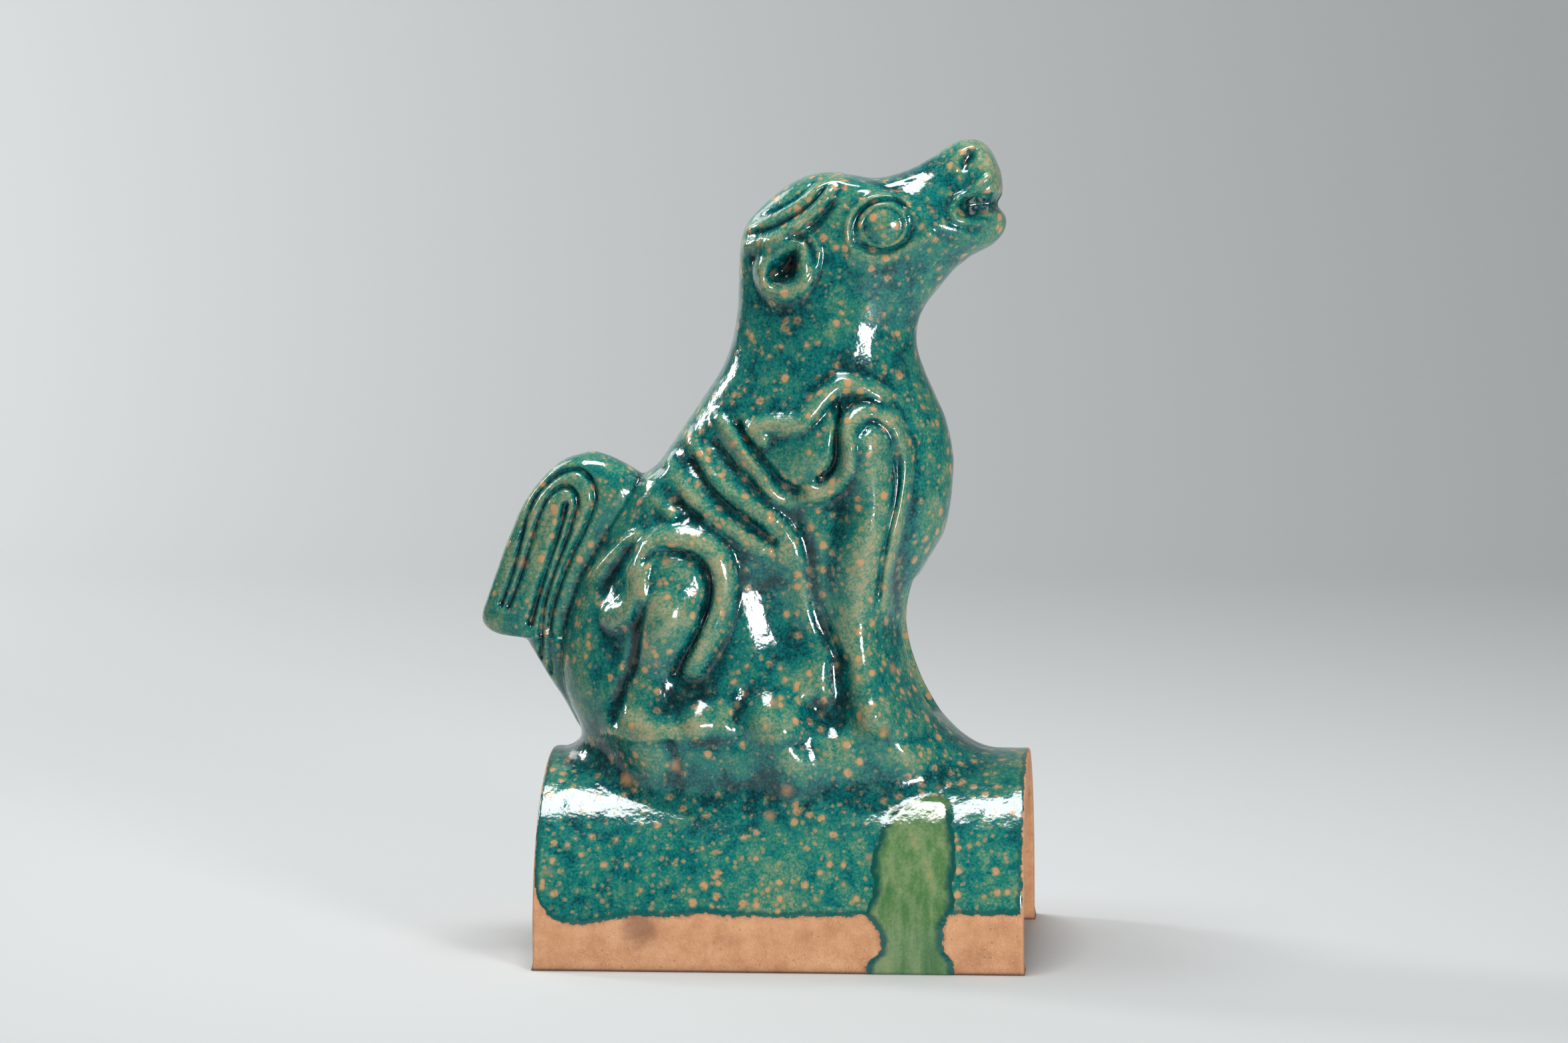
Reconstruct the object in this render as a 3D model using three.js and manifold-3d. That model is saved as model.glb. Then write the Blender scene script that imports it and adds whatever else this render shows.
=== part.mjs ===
// Ridge beast: a glazed roof tile with a seated animal, one fired piece of earthenware.
//
// A half-round ridge tile runs along X and stands on its two long lower edges, Z up.
// The beast sits on its crown and looks along +X with its head thrown back.  It was
// pressed in two moulds, so its two sides mirror each other across the plane Y = 0, and
// all its carving is a height measured out from that plane.  Lengths are millimetres.

import * as THREE from 'three';
import { ParametricGeometry } from 'three/addons/geometries/ParametricGeometry.js';
import { SimplifyModifier } from 'three/addons/modifiers/SimplifyModifier.js';
import { mergeVertices } from 'three/addons/utils/BufferGeometryUtils.js';
import Module from 'manifold-3d';

const wasm = await Module();
wasm.setup();

// ---------------------------------------------------------------- driving dimensions

const TILE_LENGTH = 195;
const TILE_WIDTH = 135;
const TILE_HEIGHT = 80;
const TILE_WALL = 15;
const TILE_RADIUS = TILE_WIDTH / 2;
const TILE_SPRING = TILE_HEIGHT - TILE_RADIUS; // where the upright legs turn into the vault
const ARCH_STEPS = 40;
const CUT_CLEARANCE = 5; // how far the cutting solid runs past the tile

const WELD = 1e-4; // points closer than this are one point

// The body is a stack of closed sections from the tile up to the nose.  Each row gives the
// section's back point, its front point, its half width and how square it is (2 = ellipse).
const BODY_SECTIONS = [
  { back: [-76, 46], front: [60, 46], half: 51.5, square: 2.1 },
  { back: [-80, 58], front: [66, 58], half: 50.5, square: 2.1 },
  { back: [-84, 70], front: [72, 70], half: 48.5, square: 2.1 },
  { back: [-86.5, 78], front: [78, 78.5], half: 47, square: 2.1 },
  { back: [-84.5, 86], front: [69, 86], half: 46, square: 2.3 },
  { back: [-86, 92], front: [63, 92], half: 45, square: 2.5 },
  { back: [-89, 99], front: [58, 99], half: 42.5, square: 2.7 },
  { back: [-92, 108], front: [53.5, 108], half: 40, square: 2.8 },
  { back: [-93, 120], front: [49.5, 120], half: 37.5, square: 2.8 },
  { back: [-91, 132], front: [47.5, 132], half: 36, square: 2.8 },
  { back: [-87, 146], front: [50, 145], half: 35.5, square: 2.7 },
  { back: [-81, 158], front: [56, 157], half: 35.5, square: 2.6 },
  { back: [-75, 169], front: [62, 168], half: 35.5, square: 2.5 },
  { back: [-68, 180], front: [64.5, 179], half: 35, square: 2.4 },
  { back: [-61, 190], front: [65.5, 190], half: 34.5, square: 2.3 },
  { back: [-53, 197], front: [65.5, 200], half: 34, square: 2.2 },
  { back: [-44, 210], front: [63, 212], half: 33, square: 2.2 },
  { back: [-35, 223], front: [58.5, 223], half: 31, square: 2.2 },
  { back: [-28, 234], front: [54, 233], half: 29, square: 2.2 },
  { back: [-24, 244], front: [51, 242], half: 27.5, square: 2.2 },
  { back: [-21.5, 257], front: [51, 251], half: 26.5, square: 2.2 },
  { back: [-21, 270], front: [54, 259], half: 26, square: 2.2 },
  { back: [-20.5, 282], front: [60, 267], half: 26, square: 2.2 },
  { back: [-18.5, 291], front: [65, 273], half: 26, square: 2.2 },
  { back: [-12, 299], front: [69, 276.5], half: 26, square: 2.2 },
  { back: [-3, 306.5], front: [72, 279], half: 25.8, square: 2.3 },
  { back: [6, 311.5], front: [75, 280.5], half: 25.5, square: 2.3 },
  { back: [15, 313], front: [77.5, 281.7], half: 25, square: 2.4 },
  { back: [24, 312], front: [79.5, 282.7], half: 24, square: 2.4 },
  { back: [33, 310.5], front: [81, 283.7], half: 22.5, square: 2.4 },
  { back: [42, 312], front: [82.8, 285.3], half: 20.5, square: 2.3 },
  { back: [50, 315], front: [84.3, 287], half: 18.5, square: 2.3 },
  { back: [57, 319], front: [85.5, 289], half: 17, square: 2.3 },
  { back: [64, 323.5], front: [86.3, 291.5], half: 16.5, square: 2.3 },
  { back: [70, 325.8], front: [86.5, 295], half: 16, square: 2.3 },
  { back: [76, 325], front: [86, 299], half: 14.5, square: 2.2 },
  { back: [80.5, 320.5], front: [85.3, 303], half: 11.5, square: 2.1 },
  { back: [84, 313], front: [84.8, 308], half: 4, square: 2 },
];

// The tail stands up as a paddle, from its root down the rump to its rounded top, and its
// free end hangs back.  Sections are level; the tip is the step where the back jumps out.
const TAIL_SECTIONS = [
  { back: [-86, 88], front: [-72, 88], half: 8, square: 2.2 },
  { back: [-92.5, 100], front: [-74, 100], half: 12, square: 2.2 },
  { back: [-99, 110], front: [-76, 110], half: 13.5, square: 2.3 },
  { back: [-105.5, 121], front: [-78, 121], half: 14, square: 2.3 },
  { back: [-109, 125], front: [-78, 125], half: 14, square: 2.3 },
  { back: [-121, 127], front: [-78, 127], half: 13, square: 2.3 },
  { back: [-126, 132.5], front: [-76, 132.5], half: 13, square: 2.3 },
  { back: [-123.5, 142], front: [-73, 142], half: 13.5, square: 2.3 },
  { back: [-119, 155], front: [-68, 155], half: 14, square: 2.4 },
  { back: [-114, 168], front: [-62, 168], half: 14.5, square: 2.4 },
  { back: [-108, 181], front: [-56, 181], half: 15, square: 2.4 },
  { back: [-101, 190], front: [-58, 189], half: 14, square: 2.3 },
  { back: [-95, 195.5], front: [-66, 195], half: 12, square: 2.3 },
  { back: [-89, 198.8], front: [-73, 198.5], half: 8, square: 2.2 },
  { back: [-83, 200.4], front: [-79, 200.4], half: 2, square: 2 },
];

// Carving, drawn on the side view as strokes: a path of [x, z], the stroke's half width,
// and how far its middle stands out (or, below zero, sinks in).
const LIMBS = [
  { reach: 27, height: 8.5, path: [[-45, 150], [-46, 138]] }, // thigh
  { reach: 15, height: 4, path: [[-46, 138], [-52, 122], [-55, 106], [-55, 96]] }, // shin
  { reach: 12, height: 4.5, path: [[-64, 93], [-50, 92], [-36, 94]] }, // hind foot
  { reach: 11, height: 4, path: [[-31, 98], [-24, 97]] }, // toes of the hind foot
  { reach: 14, height: 7, path: [[-5, 98], [0, 95]] }, // rock under the belly
  { reach: 14, height: 7, path: [[39, 97], [47, 94]] }, // fore paw
  { reach: 16, height: 9, path: [[36, 206], [36, 180], [33, 160], [32, 138], [34, 118], [38, 104]] },
  { reach: 26, height: 4, path: [[14, 206], [22, 208]] }, // shoulder
];
const HOLLOWS = [
  { reach: 17, height: -4, path: [[-4, 148], [2, 128]] }, // flank between the limbs
  { reach: 9, height: -5, path: [[14, 100], [19, 96]] }, // between rock and paw
  { reach: 5, height: -6, path: [[24, 120], [24, 104]] }, // behind the foreleg
  { reach: 5, height: -4, path: [[5, 178], [10, 164], [12, 148], [15, 135], [21, 123]] },
  { reach: 3.2, height: -6, path: [[-57, 142], [-58, 128], [-60, 118], [-64, 108], [-67, 96]] },
  { reach: 4, height: -4, path: [[-72, 147], [-67, 156], [-62, 164]] }, // behind the thigh
  { reach: 3.4, height: -3.2, path: [[-19, 213], [-13, 204], [-6, 196], [0, 190], [8, 187]] },
  { reach: 3.2, height: -2.8, path: [[-28, 206], [-20, 196], [-10, 187], [-2, 181], [5, 172]] },
  { reach: 3.2, height: -3, path: [[-37, 199], [-30, 189], [-22, 181], [-12, 173], [-4, 167]] },
  { reach: 3.2, height: -3, path: [[-48, 190], [-42, 182], [-34, 177]] },
  { reach: 2.8, height: -3.4, path: [[21, 221], [22, 213], [21.5, 206], [20, 198], [15, 192.5]] },
];
const BANDS = [
  // the long band that frames the thigh and curls up behind it
  {
    reach: 5.6,
    height: 4.6,
    path: [[-69, 137], [-62, 141], [-58.5, 148], [-58, 156], [-55, 164], [-47, 169], [-37, 168.5],
      [-28, 164], [-23, 155], [-23, 145], [-25.5, 135], [-30, 126], [-35, 118]],
  },
  // upper scroll of the shoulder
  {
    reach: 4.2,
    height: 4.4,
    path: [[-9, 208.5], [-12, 212], [-7, 214], [1, 214], [7, 215], [12, 220], [17, 226], [23, 230],
      [31, 229], [39, 225]],
  },
  // lower scroll, which turns into the outer edge of the foreleg
  {
    reach: 3.9,
    height: 4.4,
    path: [[9, 186.5], [15, 186.5], [21, 190], [25, 196], [26, 204], [25, 212], [29, 218], [36, 220],
      [43, 216], [47, 208], [49, 199], [48.5, 188], [46, 176], [43, 164], [41, 152], [41, 140]],
  },
  { reach: 3.4, height: 2.6, path: [[-79, 151], [-73, 158], [-66, 164], [-59, 169]] }, // rump fold
  { reach: 4.4, height: 2.6, path: [[-27, 216], [-20, 208], [-12, 198], [-7, 190], [-3, 183]] },
  { reach: 4.4, height: 2.6, path: [[-39, 207], [-33, 198], [-27, 190], [-18, 184], [-6, 177]] },
  { reach: 4.4, height: 2.6, path: [[-48, 198], [-42, 190], [-35, 182], [-25, 175], [-8, 164]] },
  { reach: 3.8, height: 2.4, path: [[-55, 190], [-51, 183], [-45, 177]] },
];
const BAND_GROOVE = {
  reach: 2.8,
  height: -3.2,
  path: [[-55, 160], [-51, 163.5], [-44, 164], [-36, 162], [-31, 156.5], [-29, 149], [-30.5, 140],
    [-34, 130], [-39, 121], [-43, 114]],
};
const FACE = [
  { reach: 6, height: 2.6, path: [[38, 294.5], [38.5, 294.5]] }, // eyeball
  { reach: 7.5, height: -4.5, path: [[-2, 275], [0, 277]] }, // hollow of the ear
  { reach: 2.6, height: -2.2, path: [[-13, 281], [-3, 285.5], [6, 290], [12, 295], [17, 302]] },
  { reach: 3.6, height: 2.4, path: [[-16, 285], [-8, 287.5], [2, 292], [10, 297.5], [16, 304]] },
  { reach: 3.2, height: -6.5, path: [[69.5, 298.7], [75, 299.4], [84, 299.8]] }, // open mouth
  { reach: 2.2, height: 1.6, path: [[69, 301.5], [74, 305], [79, 310]] }, // upper lip
  { reach: 2.2, height: 1.4, path: [[67, 299], [67.5, 295.5], [72, 293.5], [79, 294]] }, // lower lip
  { reach: 2.8, height: -3.6, path: [[70.5, 315.5], [73.5, 319.5]] }, // nostril
];
const RINGS = [
  { centre: [-1, 275], radii: [9.8, 10.2], reach: 3.6, height: 5 }, // rim of the ear
  { centre: [37.8, 294.4], radii: [8.6, 7.8], reach: 2.2, height: 2.4 }, // eyelids
];

// Strands of the tail: nested arches cut as grooves, outermost first.
const TAIL_GROOVES = [
  {
    reach: 2.2,
    height: -2.6,
    path: [[-117, 139], [-113, 150], [-110, 160], [-107, 172], [-103, 182], [-97, 189], [-91, 193],
      [-85, 194], [-80.5, 191], [-78, 185], [-78.5, 180], [-82, 171], [-86.5, 162], [-90, 154],
      [-93, 146], [-95.5, 138], [-97, 128], [-96.5, 112]],
  },
  {
    reach: 2.2,
    height: -2.6,
    path: [[-114, 138], [-111, 145], [-108, 153], [-105, 163], [-102, 173], [-98.5, 181], [-94, 186],
      [-89.5, 187.3], [-86, 184.5], [-85.3, 180], [-87.5, 173], [-91, 163], [-94.5, 154],
      [-97.5, 145], [-99.5, 136], [-100.5, 118]],
  },
  {
    reach: 2.4,
    height: -3,
    path: [[-90, 180], [-92, 172], [-95.5, 161], [-99, 151], [-102, 141], [-104.5, 132]],
  },
];

// Hollow between the forelegs.  It keeps its full depth over the middle third of its width,
// and is cut only where a section faces forwards (`faceStart` and `faceFull` are shares of
// the way from a section's middle to its front point).
const CHEST_RECESS = {
  depth: 13,
  halfWidth: 13,
  flatShare: 1 / 3,
  foot: 92,
  head: 152,
  fade: 9,
  faceStart: 0.5,
  faceFull: 0.8,
};

// The parting of the lips, cut into the muzzle where x lies past `start`.
const MOUTH_NOTCH = { depth: 3, height: 299.6, reach: 3.4, start: 80, full: 84 };

const BODY_GRID = { around: 240, along: 300 };
const TAIL_GRID = { around: 100, along: 130 };
const FIGURE_TRIANGLES = 8600; // what the beast keeps once its flat places are thinned out

const glaze = new THREE.MeshStandardMaterial({ color: 0x2f7f78, roughness: 0.18, metalness: 0 });

// ---------------------------------------------------------------- small mathematics

const clamp = (value, low, high) => Math.min(high, Math.max(low, value));

function smoothStep(low, high, value) {
  const t = clamp((value - low) / (high - low), 0, 1);
  return t * t * (3 - 2 * t);
}

// A Catmull-Rom curve through a list of numbers, t running from 0 to 1.
function splineValue(values, t) {
  const last = values.length - 1;
  const span = clamp(Math.floor(t * last), 0, last - 1);
  const s = t * last - span;
  const p0 = values[Math.max(span - 1, 0)];
  const p1 = values[span];
  const p2 = values[span + 1];
  const p3 = values[Math.min(span + 2, last)];
  const a = 2 * p1;
  const b = p2 - p0;
  const c = 2 * p0 - 5 * p1 + 4 * p2 - p3;
  const d = 3 * p1 - p0 - 3 * p2 + p3;
  return (a + b * s + c * s * s + d * s * s * s) / 2;
}

// A stroke carries the box that it can reach, so that points far from it cost nothing.
function boxed(stroke) {
  const xs = stroke.points.map((point) => point[0]);
  const zs = stroke.points.map((point) => point[1]);
  const left = Math.min(...xs) - stroke.reach;
  const right = Math.max(...xs) + stroke.reach;
  const bottom = Math.min(...zs) - stroke.reach;
  const top = Math.max(...zs) + stroke.reach;
  return { ...stroke, left, right, bottom, top };
}

// A stroke's path becomes many short straight pieces of a smooth curve.
const STEPS_PER_POINT = 5;

function traced(stroke) {
  const xs = stroke.path.map((point) => point[0]);
  const zs = stroke.path.map((point) => point[1]);
  const count = (stroke.path.length - 1) * STEPS_PER_POINT;
  const points = [];
  for (let i = 0; i <= count; i += 1) {
    points.push([splineValue(xs, i / count), splineValue(zs, i / count)]);
  }
  return boxed({ ...stroke, points });
}

const RING_STEPS = 36;

function tracedRing(ring) {
  const points = [];
  for (let i = 0; i <= RING_STEPS; i += 1) {
    const angle = (i / RING_STEPS) * 2 * Math.PI;
    const x = ring.centre[0] + ring.radii[0] * Math.cos(angle);
    const z = ring.centre[1] + ring.radii[1] * Math.sin(angle);
    points.push([x, z]);
  }
  return boxed({ ...ring, points });
}

function distanceToStroke(stroke, x, z) {
  let best = Infinity;
  for (let i = 1; i < stroke.points.length; i += 1) {
    const [ax, az] = stroke.points[i - 1];
    const [bx, bz] = stroke.points[i];
    const dx = bx - ax;
    const dz = bz - az;
    const t = clamp(((x - ax) * dx + (z - az) * dz) / (dx * dx + dz * dz), 0, 1);
    best = Math.min(best, Math.hypot(x - ax - t * dx, z - az - t * dz));
  }
  return best;
}

// Height of one stroke: a half cosine across its width, round-backed like a roll of clay.
function strokeHeight(stroke, x, z) {
  if (x < stroke.left || x > stroke.right || z < stroke.bottom || z > stroke.top) return 0;
  const reach = distanceToStroke(stroke, x, z) / stroke.reach;
  if (reach >= 1) return 0;
  return stroke.height * (1 + Math.cos(Math.PI * reach)) / 2;
}

function reliefOf(groups) {
  const strokes = groups.flat();
  return (x, z) => strokes.reduce((sum, stroke) => sum + strokeHeight(stroke, x, z), 0);
}

const limbRelief = reliefOf([LIMBS.map(traced), HOLLOWS.map(traced)]);
const bandStrokes = BANDS.map(traced);
const bandRelief = (x, z) => Math.max(...bandStrokes.map((band) => strokeHeight(band, x, z)));
const fineRelief = reliefOf([[traced(BAND_GROOVE)], FACE.map(traced), RINGS.map(tracedRing)]);
const tailRelief = reliefOf([TAIL_GROOVES.map(traced)]);

// ---------------------------------------------------------------- the beast's surface

// One point of a lofted form.  `along` picks the section and `around` turns about it: the
// point leaves the section's middle and stops on a superellipse of the given squareness.
function sectionPoint(sections, along, around) {
  const value = (pick) => splineValue(sections.map(pick), along);
  const back = [value((row) => row.back[0]), value((row) => row.back[1])];
  const front = [value((row) => row.front[0]), value((row) => row.front[1])];
  const half = value((row) => row.half);
  const square = value((row) => row.square);
  const depth = Math.hypot(front[0] - back[0], front[1] - back[1]) / 2;
  const forward = Math.sqrt(depth) * Math.cos(around);
  const sideways = Math.sqrt(half) * Math.sin(around);
  const power = Math.abs(forward / depth) ** square + Math.abs(sideways / half) ** square;
  const scale = power ** (-1 / square);
  const run = (forward * scale) / depth;
  return {
    x: (back[0] + front[0]) / 2 + (run * (front[0] - back[0])) / 2,
    y: sideways * scale,
    z: (back[1] + front[1]) / 2 + (run * (front[1] - back[1])) / 2,
    sideShare: Math.abs(sideways * scale) / half,
    frontShare: run,
  };
}

const SEAM_FADE = 0.45; // carving dies away towards the seam where the two moulds met

function carvedPoint(point, relief) {
  const fade = smoothStep(0, SEAM_FADE, point.sideShare);
  const outward = Math.max(Math.abs(point.y) + relief(point.x, point.z) * fade, 0);
  return { ...point, y: Math.sign(point.y) * outward };
}

// The chest is hollowed between the two forelegs, and the lips part at the front.
function frontCuts(point) {
  const recess = CHEST_RECESS;
  const level = smoothStep(recess.foot, recess.foot + recess.fade, point.z)
    - smoothStep(recess.head - recess.fade, recess.head, point.z);
  const flat = recess.halfWidth * recess.flatShare;
  const across = 1 - smoothStep(flat, recess.halfWidth, Math.abs(point.y));
  const facing = smoothStep(recess.faceStart, recess.faceFull, point.frontShare);
  const cutBack = recess.depth * Math.max(level, 0) * across * facing;
  const lips = MOUTH_NOTCH;
  const lip = (point.z - lips.height) / lips.reach;
  const parting = Math.exp(-lip * lip) * smoothStep(lips.start, lips.full, point.x) * lips.depth;
  return { ...point, x: point.x - cutBack - parting };
}

const bodyRelief = (x, z) => limbRelief(x, z) + bandRelief(x, z) + fineRelief(x, z);

function bodyPoint(u, v, target) {
  const plain = sectionPoint(BODY_SECTIONS, v, u * 2 * Math.PI);
  const point = frontCuts(carvedPoint(plain, bodyRelief));
  target.set(point.x, point.y, point.z);
}

function tailPoint(u, v, target) {
  const plain = sectionPoint(TAIL_SECTIONS, v, u * 2 * Math.PI);
  const point = carvedPoint(plain, tailRelief);
  target.set(point.x, point.y, point.z);
}

// ---------------------------------------------------------------- closed solids

// A grid has open ends; each is closed by a fan round its first point's middle.
function withClosedEnds(geometry, grid) {
  const welded = geometry.clone();
  const position = welded.getAttribute('position');
  const points = Array.from(position.array);
  const index = Array.from(welded.getIndex().array);
  const rowLength = grid.around + 1;
  [0, grid.along].forEach((row, end) => {
    const first = row * rowLength;
    const middle = [0, 0, 0];
    for (let i = 0; i < grid.around; i += 1) {
      for (let axis = 0; axis < 3; axis += 1) {
        middle[axis] += points[(first + i) * 3 + axis] / grid.around;
      }
    }
    const centre = points.length / 3;
    points.push(...middle);
    for (let i = 0; i < grid.around; i += 1) {
      const a = first + i;
      const b = first + i + 1;
      index.push(...(end === 0 ? [centre, b, a] : [centre, a, b]));
    }
  });
  const closed = new THREE.BufferGeometry();
  closed.setAttribute('position', new THREE.Float32BufferAttribute(points, 3));
  closed.setIndex(index);
  return closed;
}

function weldedGeometry(geometry) {
  const plain = geometry.clone();
  plain.deleteAttribute('normal');
  plain.deleteAttribute('uv');
  const welded = mergeVertices(plain, WELD);
  const index = welded.getIndex().array;
  const kept = [];
  for (let i = 0; i < index.length; i += 3) {
    const [a, b, c] = [index[i], index[i + 1], index[i + 2]];
    if (a !== b && b !== c && a !== c) kept.push(a, b, c);
  }
  welded.setIndex(kept);
  return welded;
}

function solidFrom(geometry) {
  const welded = weldedGeometry(geometry);
  const mesh = new wasm.Mesh({
    numProp: 3,
    vertProperties: new Float32Array(welded.getAttribute('position').array),
    triVerts: new Uint32Array(welded.getIndex().array),
  });
  return new wasm.Manifold(mesh);
}

function geometryFrom(solid) {
  const mesh = solid.getMesh();
  const corners = new THREE.BufferAttribute(new Float32Array(mesh.vertProperties), 3);
  const triangles = new THREE.BufferAttribute(new Uint32Array(mesh.triVerts), 1);
  const geometry = new THREE.BufferGeometry();
  geometry.setAttribute('position', corners);
  geometry.setIndex(triangles);
  return geometry;
}

function lofted(pointAt, grid) {
  return solidFrom(withClosedEnds(new ParametricGeometry(pointAt, grid.around, grid.along), grid));
}

// ---------------------------------------------------------------- the tile

// A half-round arch seen along X, on upright legs down to z = base.
function archSolid(radius, base, length) {
  const outline = new THREE.Shape();
  outline.moveTo(-radius, base);
  outline.lineTo(radius, base);
  outline.lineTo(radius, TILE_SPRING);
  outline.absarc(0, TILE_SPRING, radius, 0, Math.PI, false);
  outline.closePath();
  const options = { depth: length, bevelEnabled: false, curveSegments: ARCH_STEPS };
  const arch = new THREE.ExtrudeGeometry(outline, options);
  const sideways = new THREE.Vector3(0, 1, 0);
  const upwards = new THREE.Vector3(0, 0, 1);
  const lengthways = new THREE.Vector3(1, 0, 0);
  arch.translate(0, 0, -length / 2);
  arch.applyMatrix4(new THREE.Matrix4().makeBasis(sideways, upwards, lengthways));
  return solidFrom(arch);
}

function tileSolid() {
  return archSolid(TILE_RADIUS, 0, TILE_LENGTH);
}

function channelSolid() {
  const inner = TILE_RADIUS - TILE_WALL;
  return archSolid(inner, -CUT_CLEARANCE, TILE_LENGTH + 2 * CUT_CLEARANCE);
}

// ---------------------------------------------------------------- one fired piece

async function thinned(solid, triangles) {
  const dense = geometryFrom(solid);
  const surplus = dense.getAttribute('position').count - triangles / 2;
  const thin = await new SimplifyModifier().modify(dense, surplus);
  return solidFrom(thin);
}

async function beastSolid() {
  const body = lofted(bodyPoint, BODY_GRID);
  const tail = lofted(tailPoint, TAIL_GRID);
  return thinned(body.add(tail), FIGURE_TRIANGLES);
}

async function ridgeBeast() {
  const beast = await beastSolid();
  const fired = tileSolid().add(beast).subtract(channelSolid());
  const geometry = geometryFrom(fired);
  geometry.computeBoundingBox();
  const { min, max } = geometry.boundingBox;
  geometry.translate(-(min.x + max.x) / 2, -(min.y + max.y) / 2, -min.z);
  const mesh = new THREE.Mesh(geometry, glaze);
  mesh.name = 'ridge_beast';
  return mesh;
}

const group = new THREE.Group();
group.add(await ridgeBeast());

export default group;
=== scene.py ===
"""Ridge beast: the looks of one glazed roof tile with a seated animal on its crown.

The whole figure is one fired piece.  It is built as one closed surface that starts at the
nose, runs down the head, body and mound, spreads over the tile, turns under its edges and
closes inside the vault.  A second closed surface makes the tail, and the two are joined.
Tables are in millimetres, measured from the middle of the tile's foot: x along the ridge
towards the beast's face, z up.  The carving is the same on both sides of the plane y = 0.
"""

import math

import bpy
import numpy as np
from mathutils import Matrix, Vector


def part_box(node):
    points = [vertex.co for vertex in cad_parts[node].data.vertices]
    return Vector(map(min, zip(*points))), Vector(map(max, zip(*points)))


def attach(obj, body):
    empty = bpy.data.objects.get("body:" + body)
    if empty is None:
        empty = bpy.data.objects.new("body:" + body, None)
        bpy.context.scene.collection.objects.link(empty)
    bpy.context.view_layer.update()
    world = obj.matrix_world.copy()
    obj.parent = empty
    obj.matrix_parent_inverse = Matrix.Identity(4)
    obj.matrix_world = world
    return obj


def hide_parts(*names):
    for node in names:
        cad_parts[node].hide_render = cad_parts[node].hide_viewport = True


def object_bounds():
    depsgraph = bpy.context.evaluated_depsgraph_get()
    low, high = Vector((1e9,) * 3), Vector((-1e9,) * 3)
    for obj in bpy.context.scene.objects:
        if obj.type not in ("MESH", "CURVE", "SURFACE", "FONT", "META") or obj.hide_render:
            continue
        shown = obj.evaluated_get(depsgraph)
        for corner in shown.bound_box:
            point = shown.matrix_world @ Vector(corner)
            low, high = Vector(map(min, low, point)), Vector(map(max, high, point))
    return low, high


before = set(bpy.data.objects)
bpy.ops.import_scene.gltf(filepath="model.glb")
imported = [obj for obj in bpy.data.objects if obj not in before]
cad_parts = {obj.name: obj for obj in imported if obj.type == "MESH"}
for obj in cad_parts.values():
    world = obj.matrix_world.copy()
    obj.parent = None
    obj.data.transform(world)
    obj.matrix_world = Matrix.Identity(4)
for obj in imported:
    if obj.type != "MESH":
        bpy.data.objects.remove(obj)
CAD_BOX = [[float(value) for value in corner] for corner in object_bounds()]

bl_info = {
    "name": "Ridge Beast",
    "version": (1, 0, 0),
    "blender": (4, 5, 0),
    "location": "View3D > Sidebar > Ridge Beast",
    "description": "Builds a glazed ridge tile with a seated beast",
    "category": "Add Mesh",
}

NODE = "ridge_beast"
MM = 0.001

# ------------------------------------------------------------------ sizes of the piece

TILE_LENGTH = 195.0
TILE_RADIUS = 67.5
TILE_SPRING = 12.5  # height at which the upright legs turn into the vault
TILE_WALL = 15.0
QUARTER = math.pi / 2 * TILE_RADIUS
TILE_REACH = QUARTER + TILE_SPRING  # from the crown down to the foot, along the surface
TILE_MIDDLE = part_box(NODE)[1].x / MM - TILE_LENGTH / 2  # the frame's x of the tile's middle

# Rows: back x, back z, front x, front z, half width, squareness (2 = ellipse).
BODY = np.array([
    (84.0, 313.0, 84.8, 308.0, 4.0, 2.0),
    (80.5, 320.5, 85.3, 303.0, 11.5, 2.1),
    (76.0, 325.0, 86.0, 299.0, 14.5, 2.2),
    (70.0, 325.8, 86.5, 295.0, 16.0, 2.3),
    (64.0, 323.5, 86.3, 291.5, 16.5, 2.3),
    (57.0, 319.0, 85.5, 289.0, 17.0, 2.3),
    (50.0, 315.0, 84.3, 287.0, 18.5, 2.3),
    (42.0, 312.0, 82.8, 285.3, 20.5, 2.3),
    (33.0, 310.5, 81.0, 283.7, 22.5, 2.4),
    (24.0, 312.0, 79.5, 282.7, 24.0, 2.4),
    (15.0, 313.0, 77.5, 281.7, 25.0, 2.4),
    (6.0, 311.5, 75.0, 280.5, 25.5, 2.3),
    (-3.0, 306.5, 72.0, 279.0, 25.8, 2.3),
    (-12.0, 299.0, 69.0, 276.5, 26.0, 2.2),
    (-18.5, 291.0, 65.0, 273.0, 26.0, 2.2),
    (-20.5, 282.0, 60.0, 267.0, 26.0, 2.2),
    (-21.0, 270.0, 54.0, 259.0, 26.0, 2.2),
    (-21.5, 257.0, 51.0, 251.0, 26.5, 2.2),
    (-24.0, 244.0, 51.0, 242.0, 27.5, 2.2),
    (-28.0, 234.0, 54.0, 233.0, 29.0, 2.2),
    (-35.0, 223.0, 58.5, 223.0, 31.0, 2.2),
    (-44.0, 210.0, 63.0, 212.0, 33.0, 2.2),
    (-53.0, 197.0, 65.5, 200.0, 34.0, 2.2),
    (-61.0, 190.0, 65.5, 190.0, 34.5, 2.3),
    (-68.0, 180.0, 64.5, 179.0, 35.0, 2.4),
    (-75.0, 169.0, 62.0, 168.0, 35.5, 2.5),
    (-81.0, 158.0, 56.0, 157.0, 35.5, 2.6),
    (-87.0, 146.0, 50.0, 145.0, 35.5, 2.7),
    (-91.0, 132.0, 47.5, 132.0, 36.0, 2.8),
    (-93.0, 120.0, 49.5, 120.0, 37.5, 2.8),
    (-92.0, 108.0, 53.5, 108.0, 40.0, 2.8),
    (-89.0, 99.0, 58.0, 99.0, 42.5, 2.7),
    (-86.0, 92.0, 63.0, 92.0, 45.0, 2.5),
    (-85.0, 88.0, 67.0, 88.0, 46.0, 2.4),
])

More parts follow.
